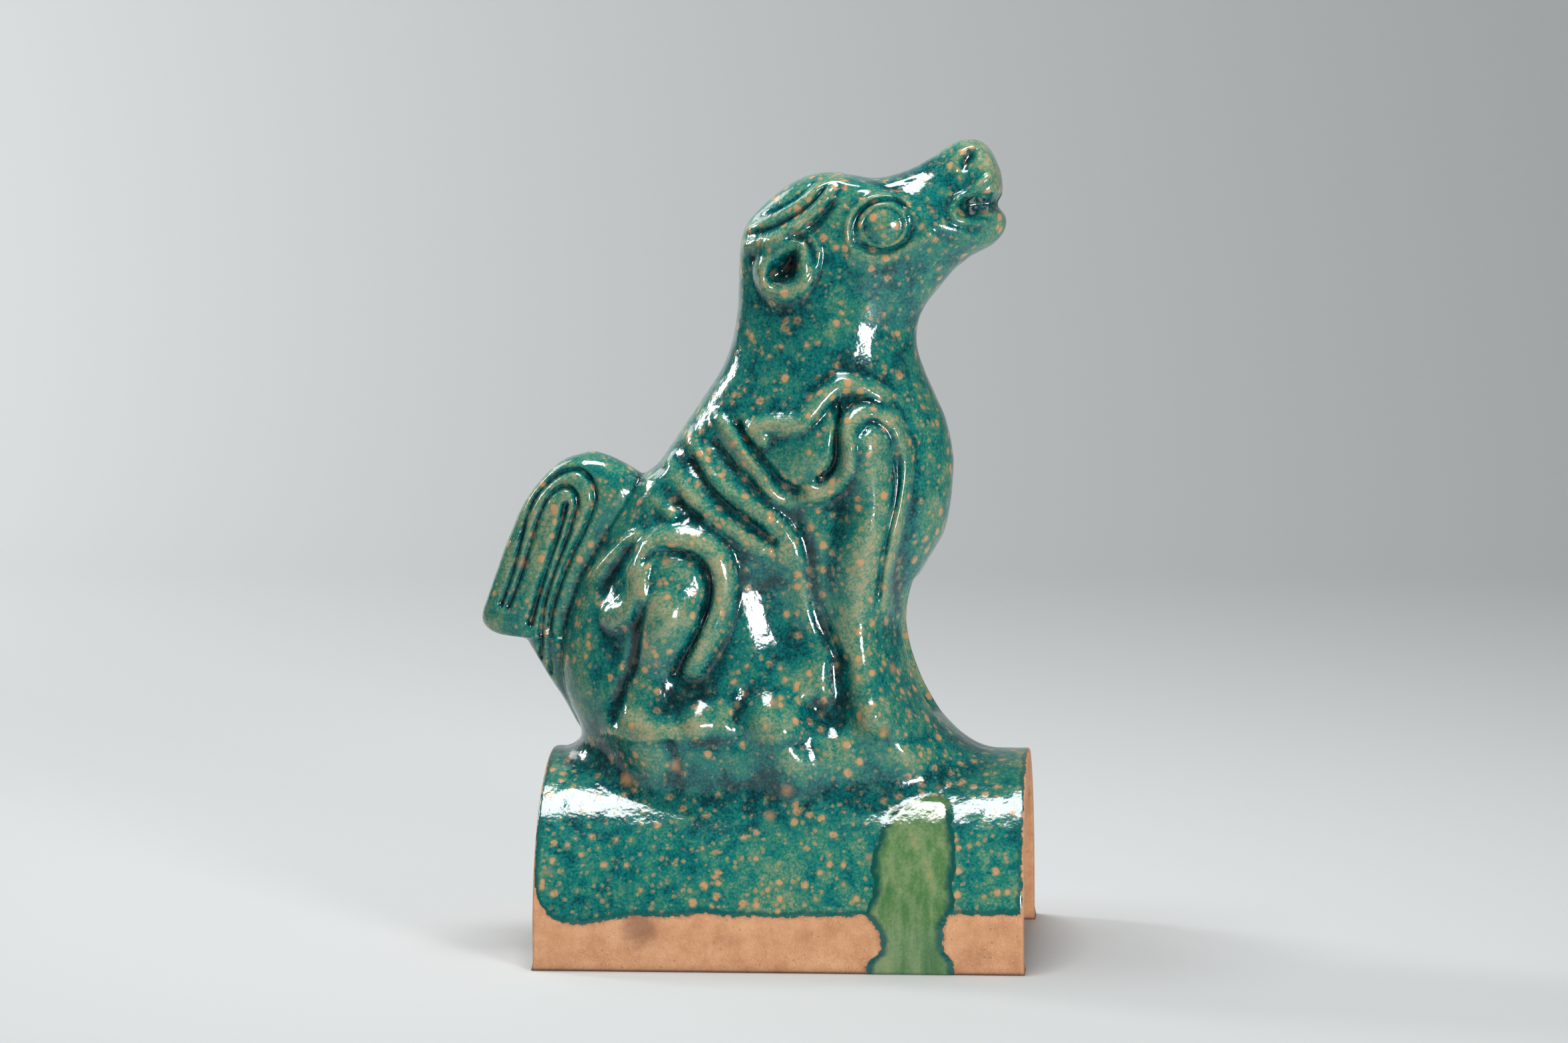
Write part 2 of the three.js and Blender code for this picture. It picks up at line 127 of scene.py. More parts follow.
TAIL = np.array([
    (-86.0, 88.0, -72.0, 88.0, 8.0, 2.2),
    (-92.5, 100.0, -74.0, 100.0, 12.0, 2.2),
    (-99.0, 110.0, -76.0, 110.0, 13.5, 2.3),
    (-105.5, 121.0, -78.0, 121.0, 14.0, 2.3),
    (-109.0, 125.0, -78.0, 125.0, 14.0, 2.3),
    (-121.0, 127.0, -78.0, 127.0, 13.0, 2.3),
    (-126.0, 132.5, -76.0, 132.5, 13.0, 2.3),
    (-123.5, 142.0, -73.0, 142.0, 13.5, 2.3),
    (-119.0, 155.0, -68.0, 155.0, 14.0, 2.4),
    (-114.0, 168.0, -62.0, 168.0, 14.5, 2.4),
    (-108.0, 181.0, -56.0, 181.0, 15.0, 2.4),
    (-101.0, 190.0, -58.0, 189.0, 14.0, 2.3),
    (-95.0, 195.5, -66.0, 195.0, 12.0, 2.3),
    (-89.0, 198.8, -73.0, 198.5, 8.0, 2.2),
    (-83.0, 200.4, -79.0, 200.4, 2.0, 2.0),
])

# The mound's foot on the tile, in the tile's own flat coordinates: along x, and down the
# surface from the crown.
FOOT_MIDDLE = -3.5
FOOT_LENGTH = 89.5
FOOT_REACH = 57.8
FOOT_SQUARENESS = 2.2

# Strokes of the carving: reach (half width), height (minus sinks), the roundness of the
# profile (low is a fat roll, 2 a soft swell) and the path of x, z points.
SOFT, ROLL, FAT = 2.0, 1.1, 0.75

LIMBS = [
    (27, 8.5, SOFT, [(-45, 150), (-46, 138)]),
    (15, 4, SOFT, [(-46, 138), (-52, 122), (-55, 106), (-55, 96)]),
    (12, 4.5, SOFT, [(-64, 93), (-50, 92), (-36, 94)]),
    (11, 4, SOFT, [(-31, 98), (-24, 97)]),
    (14, 7, SOFT, [(-5, 98), (0, 95)]),
    (14, 7, SOFT, [(39, 97), (47, 94)]),
    (16, 9, SOFT, [(36, 206), (36, 180), (33, 160), (32, 138), (34, 118), (38, 104)]),
    (26, 4, SOFT, [(14, 206), (22, 208)]),
]
HOLLOWS = [
    (17, -4, SOFT, [(-4, 148), (2, 128)]),
    (9, -5, SOFT, [(14, 100), (19, 96)]),
    (7, -3.4, SOFT, [(23, 118), (23, 104)]),
    (5, -2.8, SOFT, [(5, 178), (10, 164), (12, 148), (15, 135), (21, 123)]),
    (4.2, -3.6, SOFT, [(-57, 142), (-58, 128), (-60, 118), (-64, 108), (-67, 96)]),
    (4, -4, SOFT, [(-72, 147), (-67, 156), (-62, 164)]),
    (3.4, -3.2, SOFT, [(-19, 213), (-13, 204), (-6, 196), (0, 190), (8, 187)]),
    (3.2, -2.8, SOFT, [(-28, 206), (-20, 196), (-10, 187), (-2, 181), (5, 172)]),
    (3.2, -3, SOFT, [(-37, 199), (-30, 189), (-22, 181), (-12, 173), (-4, 167)]),
    (3.2, -3, SOFT, [(-48, 190), (-42, 182), (-34, 177)]),
    (2.8, -3.4, SOFT, [(21, 221), (22, 213), (21.5, 206), (20, 198), (15, 192.5)]),
    (2.6, -3.4, SOFT, [(-55, 160), (-51, 163.5), (-44, 164), (-36, 162), (-31, 156.5),
                       (-29, 149), (-30.5, 140), (-34, 130), (-39, 121), (-43, 114)]),
    (2.2, -2.4, SOFT, [(31, 211), (35, 214.5), (40, 212), (43, 205), (44.5, 195), (44, 182),
                       (41.5, 170), (39.5, 158), (38, 146)]),
    (2.6, -1.8, SOFT, [(-66, 86), (-60, 84), (-52, 85), (-44, 87)]),
    (2.4, -2.4, SOFT, [(-14, 108), (-16, 103), (-19, 97)]),
]
BANDS = [
    (5.6, 4.6, FAT, [(-69, 137), (-62, 141), (-58.5, 148), (-58, 156), (-55, 164), (-47, 169),
                     (-37, 168.5), (-28, 164), (-23, 155), (-23, 145), (-25.5, 135),
                     (-30, 126), (-35, 118)]),
    (4.2, 4.4, FAT, [(-9, 208.5), (-12, 212), (-7, 214), (1, 214), (7, 215), (12, 220),
                     (17, 226), (23, 230), (31, 229), (39, 225)]),
    (3.9, 4.4, FAT, [(9, 186.5), (15, 186.5), (21, 190), (25, 196), (26, 204), (25, 212),
                     (29, 218), (36, 220), (43, 216)]),
    (2.7, 3.2, ROLL, [(36, 220), (43, 216), (47, 208), (49, 199), (48.5, 188), (46, 176),
                      (43, 164), (41, 152), (41, 140)]),
    (3.4, 2.6, ROLL, [(-79, 151), (-73, 158), (-66, 164), (-59, 169)]),
    (4.4, 2.6, SOFT, [(-27, 216), (-20, 208), (-12, 198), (-7, 190), (-3, 183)]),
    (4.4, 2.6, SOFT, [(-39, 207), (-33, 198), (-27, 190), (-18, 184), (-6, 177)]),
    (4.4, 2.6, SOFT, [(-48, 198), (-42, 190), (-35, 182), (-25, 175), (-8, 164)]),
    (3.8, 2.4, SOFT, [(-55, 190), (-51, 183), (-45, 177)]),
    (2.4, 1.4, ROLL, [(-67, 91), (-60, 88.5), (-50, 90), (-42, 93)]),
]
FACE = [
    (7.4, 2.6, FAT, [(38.5, 292.2), (39.1, 292.2)]),
    (5.4, -4.2, SOFT, [(-5, 271), (0, 275.5), (3, 281)]),
    (3.0, -2.4, SOFT, [(-1.5, 274), (2.8, 281)]),
    (3.0, -1.9, SOFT, [(-13, 278.5), (-3, 284), (6, 288.5), (12.5, 293.5), (18.5, 300.5)]),
    (2.7, 3.0, ROLL, [(-18, 283.5), (-8, 286.8), (2, 291.3), (10, 296.8), (15.5, 302.5),
                      (17.5, 306)]),
    (1.2, -1.0, SOFT, [(-18, 288), (-8, 290.8), (2, 295.4), (10, 301.3), (15, 307)]),
    (2.2, 1.3, ROLL, [(-17.5, 290.5), (-8, 293.4), (1, 298), (9, 303.6), (13, 308)]),
    (1.2, -1.0, SOFT, [(-16, 294), (-8, 296.6), (0, 300.6), (7, 305.6), (10, 309)]),
    (4.4, -6.0, ROLL, [(72, 299.4), (77, 300.3), (86, 301.4)]),
    (2.4, 2.2, ROLL, [(68.5, 302.3), (74, 305.8), (80, 310.5)]),
    (1.9, 1.9, ROLL, [(67.8, 303), (65.6, 299), (67, 295.2), (71, 293.2), (79, 292.8)]),
    (3.7, -3.0, SOFT, [(70.6, 316), (72.6, 318.8)]),
    (1.6, 1.2, ROLL, [(66.6, 314), (67.2, 319), (71, 323), (75, 323)]),
    (1.5, 2.0, ROLL, [(25.5, 285.3), (24.5, 289.8), (25.9, 295.8), (30.4, 301.3), (36.9, 304.4),
                      (44.4, 304.2), (48.9, 300.8)]),
    (1.2, -1.3, SOFT, [(27.3, 287.8), (27.3, 292.8), (29.9, 298), (34.9, 301.4), (41.9, 302),
                       (46.9, 299.8)]),
    (1.9, -1.8, SOFT, [(26.9, 286.3), (32.9, 283), (40.9, 282.4), (47.4, 285.8), (49.9, 290.8)]),
    (2.4, 1.2, SOFT, [(9, 305), (18, 310), (26, 308.5), (38, 309), (50, 311.5)]),
    (1.6, 1.6, ROLL, [(5, 291.5), (10.5, 287.5), (13.2, 281), (11.5, 272.5), (7, 265.5)]),
    (3.4, 1.8, SOFT, [(27, 281), (38, 278.5), (50, 283.5), (57, 288)]),
]
RINGS = [
    ((-1.0, 275.0), (9.0, 9.6), 4.3, 4.4, ROLL),
    ((38.8, 292.2), (8.9, 8.2), 1.15, 1.3, ROLL),
]
STRANDS = [
    (1.9, -2.8, SOFT, [(-117, 139), (-113, 150), (-110, 160), (-107, 172), (-103, 182), (-97, 189),
                       (-91, 193), (-85, 194), (-80.5, 191), (-78, 185), (-78.5, 180), (-82, 171),
                       (-86.5, 162), (-90, 154), (-93, 146), (-95.5, 138), (-97, 128),
                       (-96.5, 112)]),
    (1.9, -2.8, SOFT, [(-114, 138), (-111, 145), (-108, 153), (-105, 163), (-102, 173),
                       (-98.5, 181), (-94, 186), (-89.5, 187.3), (-86, 184.5), (-85.3, 180),
                       (-87.5, 173), (-91, 163), (-94.5, 154), (-97.5, 145), (-99.5, 136),
                       (-100.5, 118)]),
    (2.2, -3.2, SOFT, [(-90, 180), (-92, 172), (-95.5, 161), (-99, 151), (-102, 141),
                       (-104.5, 132)]),
]

SEAM_FADE = 0.45  # carving dies away towards the seam of the two moulds
CHEST_RECESS = {"depth": 13.0, "half": 13.0, "foot": 92.0, "head": 152.0, "fade": 9.0}
MOUTH_NOTCH = {"depth": 3.0, "height": 299.6, "reach": 3.4}

COLUMNS = 324  # round the piece; a multiple of 9, so that the tile's corners fall on columns
CORNER = COLUMNS // 9  # columns from the front's middle to a corner of the tile
BODY_ROWS = 184
TAIL_COLUMNS = 132
TAIL_ROWS = 130
MOUND_ROWS = 13
SHEET_ROWS = 38
VAULT_ROWS = 8

# In the kiln the figure leaned forward a little: this much at its top, nothing at its foot.
HEAD_LEAN = 2.2
LEAN_FOOT = 80.0
LEAN_RISE = 245.0

# ------------------------------------------------------------------ small mathematics


def smooth_step(low, high, value):
    """0 below low, 1 above high, and 3t^2 - 2t^3 between them."""
    t = np.clip((np.asarray(value, float) - low) / (high - low), 0, 1)
    return t * t * (3 - 2 * t)


def spline(values, t):
    """Catmull-Rom curve through the rows of values: each span is the cubic that leaves and
    reaches its ends along the line between their neighbours; t runs from 0 to 1."""
    values = np.asarray(values, float)
    last = len(values) - 1
    span = np.clip(np.floor(t * last).astype(int), 0, last - 1)
    s = (t * last - span)[:, None]
    p0 = values[np.maximum(span - 1, 0)]
    p1 = values[span]
    p2 = values[span + 1]
    p3 = values[np.minimum(span + 2, last)]
    linear = (p2 - p0) * s
    square = (2 * p0 - 5 * p1 + 4 * p2 - p3) * s**2
    cube = (3 * p1 - p0 - 3 * p2 + p3) * s**3
    return (2 * p1 + linear + square + cube) / 2


def cell_value(cell, seed):
    """A fixed random number from 0 to 1 for each whole-numbered cell: its three numbers are
    multiplied by large primes, mixed bit by bit, and the low 16 bits are kept."""
    c = cell.astype(np.int64)
    h = c[..., 0] * 73856093 ^ c[..., 1] * 19349663 ^ c[..., 2] * 83492791 ^ seed * 2654435761
    h = (h ^ (h >> 13)) * 1274126177 & 0x7FFFFFFF
    return ((h ^ (h >> 16)) & 0xFFFF) / 65535.0


def noise(points, size, seed):
    """Smooth random field from -1 to 1: values at the corners of cells of the given size,
    blended by smooth steps along the three axes."""
    p = points / size
    base = np.floor(p)
    f = p - base
    f = f * f * (3 - 2 * f)
    total = np.zeros(len(points))
    for corner in np.ndindex(2, 2, 2):
        weight = np.prod(np.where(np.array(corner) == 1, f, 1 - f), axis=1)
        total += weight * cell_value(base + np.array(corner), seed)
    return total * 2 - 1


# ------------------------------------------------------------------ carving


def stroke_distance(points, path):
    """Distance from each point to the nearest of the path's straight pieces."""
    a, b = path[:-1], path[1:]
    d = b - a
    away = points[:, None, :] - a[None]
    t = np.clip((away * d).sum(2) / (d * d).sum(1), 0, 1)
    gap = away - t[..., None] * d
    return np.sqrt((gap**2).sum(2)).min(1)


def stroke_height(x, z, reach, height, profile, path):
    """height * (1 - (distance / reach)^2) ^ profile, and nothing past the reach."""
    out = np.zeros(x.shape)
    low = path.min(0) - reach
    high = path.max(0) + reach
    near = (x > low[0]) & (x < high[0]) & (z > low[1]) & (z < high[1])
    if near.any():
        share = stroke_distance(np.stack([x[near], z[near]], 1), path) / reach
        out[near] = height * np.clip(1 - share**2, 0, 1) ** profile
    return out


def traced(points):
    """A smooth curve through the points, as short straight pieces."""
    points = np.asarray(points, float)
    return spline(points, np.linspace(0, 1, (len(points) - 1) * 6 + 1))


def ring_path(middle, radii):
    """An ellipse as 40 straight pieces."""
    turn = np.linspace(0, 2 * math.pi, 41)
    return np.stack([middle[0] + radii[0] * np.cos(turn), middle[1] + radii[1] * np.sin(turn)], 1)


def body_relief(x, z):
    """Height of the body's carving: swells and hollows add up, and the bands laid over them
    stand as high as the highest one there."""
    total = np.zeros(x.shape)
    for reach, height, profile, path in LIMBS + HOLLOWS + FACE:
        total += stroke_height(x, z, reach, height, profile, traced(path))
    for middle, radii, reach, height, profile in RINGS:
        total += stroke_height(x, z, reach, height, profile, ring_path(middle, radii))
    bands = [stroke_height(x, z, r, h, p, traced(path)) for r, h, p, path in BANDS]
    return total + np.max(bands, axis=0)


def tail_relief(x, z):
    """Depth of the grooves that part the tail's strands."""
    return sum(stroke_height(x, z, r, h, p, traced(path)) for r, h, p, path in STRANDS)


# ------------------------------------------------------------------ surfaces


def section_curves(sections, along):
    """The sections' values at the places `along`, from the splines through their rows."""
    row = spline(sections, along)
    return row[:, 0:2], row[:, 2:4], row[:, 4:5], row[:, 5:6]


def even_places(sections, count):
    """Places along a loft so that rows are evenly spaced where they move fastest."""
    dense = np.linspace(0, 1, 4000)
    back, front, half, _ = section_curves(sections, dense)
    steps = [np.hypot(*np.diff(edge, axis=0).T) for edge in (back, front, (back + front) / 2)]
    steps.append(np.abs(np.diff(half[:, 0])))
    length = np.concatenate([[0], np.cumsum(np.max(steps, axis=0))])
    return np.interp(np.linspace(0, length[-1], count), length, dense)


def loft(sections, along, turn):
    """Closed sections on a grid.  Each runs round its middle on the superellipse
    |forward / depth|^n + |sideways / half|^n = 1, forward lying along back to front."""
    back, front, half, square = section_curves(sections, along)
    depth = np.hypot(*(front - back).T)[:, None] / 2
    forward = np.sqrt(depth) * np.cos(turn)[None]
    sideways = np.sqrt(half) * np.sin(turn)[None]
    power = np.abs(forward / depth) ** square + np.abs(sideways / half) ** square
    scale = power ** (-1 / square)
    run = forward * scale / depth
    middle = (back + front) / 2
    lean = (front - back) / 2
    x = middle[:, 0:1] + run * lean[:, 0:1]
    z = middle[:, 1:2] + run * lean[:, 1:2]
    y = sideways * scale
    return x, y, z, np.abs(y) / half, run


def carve(x, y, z, side, relief):
    """Moves the surface out from the plane y = 0 by the carving's height."""
    height = relief(x.ravel(), z.ravel()).reshape(x.shape)
    outward = np.maximum(np.abs(y) + height * smooth_step(0, SEAM_FADE, side), 0)
    return np.sign(y) * outward


def front_cuts(x, y, z, front):
    """The hollow between the forelegs and the parting of the lips, cut back along x."""
    cut = CHEST_RECESS
    level = smooth_step(cut["foot"], cut["foot"] + cut["fade"], z)
    level = level - smooth_step(cut["head"] - cut["fade"], cut["head"], z)
    across = 1 - smooth_step(cut["half"] / 3, cut["half"], np.abs(y))
    facing = smooth_step(0.5, 0.8, front)
    lip = (z - MOUTH_NOTCH["height"]) / MOUTH_NOTCH["reach"]
    notch = np.exp(-lip * lip) * smooth_step(80, 84, x) * MOUTH_NOTCH["depth"]
    return x - cut["depth"] * np.clip(level, 0, 1) * across * facing - notch


def barrel(x, s, inset):
    """A point of the tile's arch: s is the way down the outer surface from the crown, first
    round the vault, then straight down the leg; inset is the depth into the wall."""
    angle = np.minimum(np.abs(s), QUARTER) / TILE_RADIUS
    leg = np.maximum(np.abs(s) - QUARTER, 0)
    radius = TILE_RADIUS - inset
    y = np.sign(s) * radius * np.sin(angle)
    z = TILE_SPRING + radius * np.cos(angle) - leg
    return np.stack([x + 0 * s, y, z], -1)


def foot_curve(turn):
    """The mound's foot in the tile's flat coordinates, a superellipse."""
    forward = math.sqrt(FOOT_LENGTH) * np.cos(turn)
    sideways = math.sqrt(FOOT_REACH) * np.sin(turn)
    n = FOOT_SQUARENESS
    power = np.abs(forward / FOOT_LENGTH) ** n + np.abs(sideways / FOOT_REACH) ** n
    scale = power ** (-1 / n)
    return FOOT_MIDDLE + forward * scale, sideways * scale


def tile_outline():
    """The tile's four edges in its flat coordinates, one point for each column: half the
    front end, a long side, the rear end, the other long side, half the front end.  The
    last two lists say which columns lie on an end (+1, -1) and on a side (+1, -1)."""
    half_x = TILE_LENGTH / 2
    column = np.arange(COLUMNS)
    side_span = COLUMNS // 2 - 2 * CORNER
    marks = [-CORNER, CORNER, CORNER + side_span, COLUMNS // 2 + CORNER, COLUMNS - CORNER,
             COLUMNS + CORNER]
    xs = [half_x, half_x, -half_x, -half_x, half_x, half_x]
    ss = [-TILE_REACH, TILE_REACH, TILE_REACH, -TILE_REACH, -TILE_REACH, TILE_REACH]
    x = np.interp(column, marks, xs)
    s = np.interp(column, marks, ss)
    on_end = np.where(np.abs(x) > half_x - 1e-6, np.sign(x), 0)
    on_side = np.where(np.abs(s) > TILE_REACH - 1e-6, np.sign(s), 0)
    return x, s, on_end, on_side


def mound_rows(ring, above, foot, beyond):
    """Rows that carry the mound down to the tile: for each column a Bezier curve that leaves
    the body along its own slope and lands along the tile."""
    down = ring - above
    down /= np.linalg.norm(down, axis=1, keepdims=True)
    out = beyond - foot
    out /= np.linalg.norm(out, axis=1, keepdims=True)
    reach = np.linalg.norm(foot - ring, axis=1, keepdims=True)
    a, b = ring + down * reach * 0.45, foot - out * reach * 0.4
    rows = []
    for t in np.linspace(0, 1, MOUND_ROWS + 1)[1:]:
        rows.append((1 - t)**3 * ring + 3 * (1 - t)**2 * t * a + 3 * (1 - t) * t**2 * b + t**3 * foot)
    return rows


EDGE = 1.3  # how far an edge's wear reaches
EDGE_DROP = 0.4  # how much of the sharp corner is worn off


def tile_rows(turn):
    """Rows from the mound's foot over the tile, round its edges and up inside the vault."""
    foot_x, foot_s = foot_curve(turn)
    edge_x, edge_s, on_end, on_side = tile_outline()
    rows = []
    near_x, near_s = edge_x - on_end * EDGE, edge_s - on_side * EDGE
    for t in np.linspace(0, 1, SHEET_ROWS + 1)[1:]:
        rows.append(barrel(foot_x + (near_x - foot_x) * t, foot_s + (near_s - foot_s) * t, 0))
    worn_x, worn_s = edge_x - on_end * EDGE_DROP, edge_s - on_side * EDGE_DROP
    rows.append(barrel(worn_x, worn_s, EDGE_DROP))
    for inset in (EDGE, TILE_WALL / 2, TILE_WALL - EDGE):
        rows.append(barrel(edge_x, edge_s, inset))
    rows.append(barrel(worn_x, worn_s, TILE_WALL - EDGE_DROP))
    for t in np.linspace(0, 0.97, VAULT_ROWS):
        rows.append(barrel(near_x * (1 - t), near_s * (1 - t), TILE_WALL))
    return rows


def closed_grid(rows):
    """Vertices and faces of rows of points, each a closed ring, capped by a fan at each end."""
    rows = np.asarray(rows)
    count, columns = rows.shape[:2]
    points = np.concatenate([rows.reshape(-1, 3), rows[0].mean(0)[None], rows[-1].mean(0)[None]])
    row, column = np.meshgrid(np.arange(count - 1), np.arange(columns), indexing="ij")
    ahead = (column + 1) % columns
    quads = np.stack([row * columns + column, (row + 1) * columns + column,
                      (row + 1) * columns + ahead, row * columns + ahead], -1).reshape(-1, 4)
    around = np.arange(columns)
    after = (around + 1) % columns
    last = (count - 1) * columns
    first_fan = np.stack([around, after, np.full(columns, count * columns)], 1)
    last_fan = np.stack([last + after, last + around, np.full(columns, count * columns + 1)], 1)
    return points, quads, np.concatenate([first_fan, last_fan])


def body_grid():
    """The outer surface, from the nose to the middle of the vault."""
    turn = np.arange(COLUMNS) / COLUMNS * 2 * math.pi
    x, y, z, side, front = loft(BODY, even_places(BODY, BODY_ROWS), turn)
    carved = carve(x, y, z, side, body_relief)
    rows = list(np.stack([front_cuts(x, carved, z, front), carved, z], -1))
    plain = np.stack([x, y, z], -1)
    foot_x, foot_s = foot_curve(turn)
    edge_x, edge_s, _, _ = tile_outline()
    foot = barrel(foot_x, foot_s, 0)
    beyond = barrel(foot_x + (edge_x - foot_x) * 0.02, foot_s + (edge_s - foot_s) * 0.02, 0)
    rows += mound_rows(rows[-1], rows[-1] - (plain[-1] - plain[-2]), foot, beyond)
    return closed_grid(rows + tile_rows(turn))


def tail_grid():
    """The tail's own closed surface, from its root up to its rounded top."""
    turn = np.arange(TAIL_COLUMNS) / TAIL_COLUMNS * 2 * math.pi
    x, y, z, side, _ = loft(TAIL, even_places(TAIL, TAIL_ROWS), turn)
    carved = carve(x, y, z, side, tail_relief)
    return closed_grid(np.stack([x, carved, z], -1)[::-1])


# ------------------------------------------------------------------ meshes


def plain_object(name, points, quads, triangles):
    """An object with this mesh, at the origin."""
    mesh = bpy.data.meshes.new(name)
    mesh.from_pydata(points, [], quads.tolist() + triangles.tolist())
    mesh.update()
    made = bpy.data.objects.new(name, mesh)
    bpy.context.scene.collection.objects.link(made)
    return made


def joined_mesh(first, second):
    """The union of two closed objects as a new mesh; both objects are used up."""
    union = first.modifiers.new("join", "BOOLEAN")
    union.operation = "UNION"
    union.solver = "MANIFOLD"
    union.object = second
    bpy.context.view_layer.update()
    evaluated = first.evaluated_get(bpy.context.evaluated_depsgraph_get())
    mesh = bpy.data.meshes.new_from_object(evaluated)
    for used in (first, second):
        old = used.data
        bpy.data.objects.remove(used)
        bpy.data.meshes.remove(old)
    return mesh


def mesh_arrays(mesh):
    """Points and edges of a mesh."""
    points = np.empty(len(mesh.vertices) * 3, np.float32)
    mesh.vertices.foreach_get("co", points)
    edges = np.empty(len(mesh.edges) * 2, np.int32)
    mesh.edges.foreach_get("vertices", edges)
    return points.reshape(-1, 3).astype(float), edges.reshape(-1, 2)


def vertex_normals(mesh):
    """Unit normals of the mesh's vertices."""
    normals = np.empty(len(mesh.vertices) * 3, np.float32)
    mesh.vertex_normals.foreach_get("vector", normals)
    return normals.reshape(-1, 3).astype(float)


def set_points(mesh, points):
    """Writes the points back, and refreshes the normals."""
    mesh.vertices.foreach_set("co", points.astype(np.float32).ravel())
    mesh.update()


def averaged(values, edges, rounds, weight=1.0):
    """Each round moves every value towards the mean of its neighbours, by its weight."""
    count = len(values)
    ends = np.concatenate([edges[:, 0], edges[:, 1]])
    others = np.concatenate([edges[:, 1], edges[:, 0]])
    degree = np.maximum(np.bincount(ends, minlength=count), 1)[:, None]
    share = np.broadcast_to(np.asarray(weight, float), (count,))[:, None]
    for _ in range(rounds):
        sums = [np.bincount(ends, weights=column[others], minlength=count) for column in values.T]
        values = values + share * (np.stack(sums, 1) / degree - values)
    return values


def crease_weight(mesh, points, edges):
    """1 beside the sharp valley where the tail meets the body, fading over a few points."""
    angle_limit = math.radians(28)
    loops = np.empty(len(mesh.loops), np.int32)
    mesh.loops.foreach_get("edge_index", loops)
    totals = np.empty(len(mesh.polygons), np.int32)
    mesh.polygons.foreach_get("loop_total", totals)
    normals = np.empty(len(mesh.polygons) * 3, np.float32)
    mesh.polygon_normals.foreach_get("vector", normals)
    normals = np.repeat(normals.reshape(-1, 3), totals, axis=0)
    order = np.argsort(loops, kind="stable")
    first = order[0::2]
    second = order[1::2]
    bend = np.arccos(np.clip((normals[first] * normals[second]).sum(1), -1, 1))
    middle = points[edges].mean(1)
    back = BODY[::-1, 0:2]
    own_back = np.interp(middle[:, 2], back[:, 1], back[:, 0])
    beside_tail = (middle[:, 0] < -45) & (middle[:, 0] > own_back - 3)
    beside_tail &= (middle[:, 2] > 86) & (np.abs(middle[:, 1]) < 26)
    sharp = edges[(bend > angle_limit) & beside_tail]
    weight = np.zeros((len(points), 1))
    weight[sharp.ravel()] = 1
    spread = averaged(weight, edges, 5)
    return np.clip(spread[:, 0] * 6, 0, 1)


# ------------------------------------------------------------------ glaze

# Where the glaze stops along the near side of the tile: x, height.
GLAZE_EDGE = np.array([
    (-99, 47), (-97.5, 40), (-96.5, 34), (-94.5, 28), (-91, 23), (-88, 20.5), (-83, 19), (-75, 19),
    (-70, 19.5), (-66, 21), (-58, 22), (-50, 22.4), (-40, 22), (-34, 22.8), (-28, 23.2),
    (-20, 22.6), (-10, 22.6), (0, 22.2), (10, 22.8), (20, 22.4), (30, 23), (40, 23.4), (60, 23.4),
    (68, 23.6), (80, 24.2), (90, 24), (99, 24.4),
])

# The run of green glaze down the near side: height, left edge, right edge.
RUN = np.array([
    (-2, 35.5, 70), (0, 35.5, 70), (2, 35, 70), (5, 36, 69.5), (6.5, 38, 68.6), (8, 40.3, 67),
    (10, 41, 66), (12, 41, 65.6), (16, 40.5, 65.5), (18, 39.6, 66), (20, 38.2, 66.2),
    (22, 36.5, 67), (24, 34.5, 68.6), (26, 35.6, 70), (30, 37.6, 70), (35, 38.5, 69),
    (40, 37, 70), (45, 37, 70.5), (50, 39, 70), (55, 40, 68.8), (58, 42, 68.3), (61, 45, 68),
    (64, 49, 67.4), (66, 54, 66), (67.2, 59.5, 61),
])


def run_inside(x, z):
    """How deep a point lies inside the green run, in millimetres, negative outside it: the
    smallest of its distances from the run's left, right and top edges."""
    left = np.interp(z, RUN[:, 0], RUN[:, 1])
    right = np.interp(z, RUN[:, 0], RUN[:, 2])
    return np.minimum(np.minimum(x - left, right - x), RUN[-1, 0] - z)


def glaze_cover(points):
    """How far inside the glaze a point lies, in millimetres, negative on bare clay.  On the
    sides it is the height above the glaze's edge; the ends, the vault and the foot are bare."""
    x, y, z = points.T
    wobble = noise(points, 7.0, 11) * 0.9 + noise(points, 2.6, 12) * 0.35
    edge_near = np.interp(x, GLAZE_EDGE[:, 0], GLAZE_EDGE[:, 1])
    edge_far = np.interp(-x, GLAZE_EDGE[:, 0], GLAZE_EDGE[:, 1]) - 2 + 2.5 * np.sin(x / 31)
    cover = z - np.where(y < 0, edge_near, edge_far) + wobble * 0.6
    run = np.where(y < 0, run_inside(x, z), -99)
    cover = np.maximum(cover, run)
    half_x = TILE_LENGTH / 2
    end = half_x - 0.9 + noise(points, 3.0, 13) * 0.8 - np.abs(x)
    on_tile = z < 81
    cover = np.where(on_tile, np.minimum(cover, end), np.minimum(cover, 12))
    radius = np.hypot(y, np.maximum(z - TILE_SPRING, 0))
    within = (radius < TILE_RADIUS - 1.0) & (z < 70) & (np.hypot(y, z - TILE_SPRING) < TILE_RADIUS - 1)
    inner = np.where(z < TILE_SPRING, np.abs(y), radius) - (TILE_RADIUS - 1.0)
    shell = (np.abs(x) > half_x - 1.5) | (radius < TILE_RADIUS - TILE_WALL + 1.5) | (z < 0.6)
    cover = np.where(shell & (z < 66) & (inner < 0), np.minimum(cover, inner), cover)
    return np.clip(cover, -12, 12)


